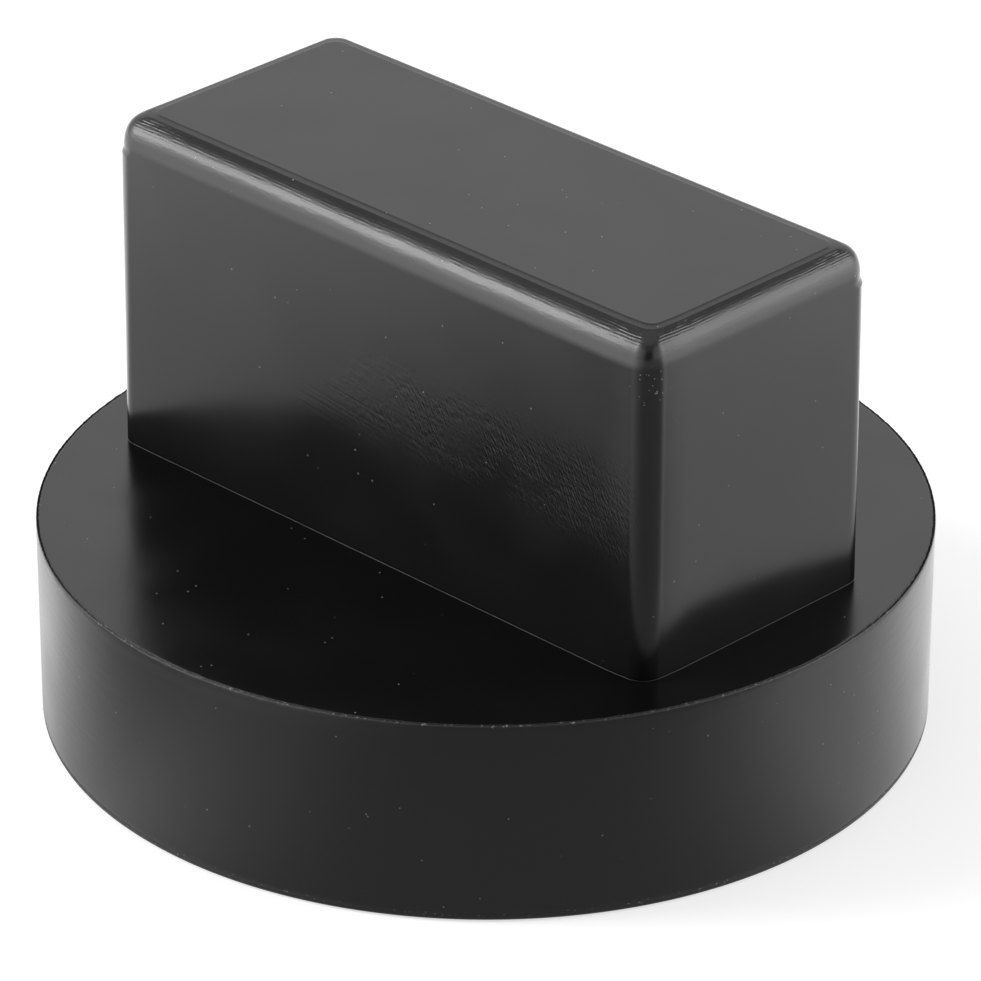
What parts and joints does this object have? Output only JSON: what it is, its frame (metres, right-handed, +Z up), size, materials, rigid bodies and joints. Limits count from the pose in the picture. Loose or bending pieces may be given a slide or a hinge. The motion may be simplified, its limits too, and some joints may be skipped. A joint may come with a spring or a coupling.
{
  "type": "jack pad adapter",
  "caption": "Solid moulded rubber jack pad: a thick round disc with a rolled-edge rectangular boss on top that fits the lifting socket under a sill.",
  "frame": {"origin": "centre of the disc's underside, which is also the bottom centre of the whole part", "axes": "+Z up, square to the underside and towards the boss; +X along the boss's length; +Y across it"},
  "size_m": [0.065, 0.065, 0.0418],
  "materials": {
    "rubber": "solid black rubber as it leaves the mould, satin, with faint tool ridges, light scuffs, dust specks and a ragged parting line"
  },
  "bodies": {
    "root": {"jack_pad": "rubber"}
  },
  "joints": []
}
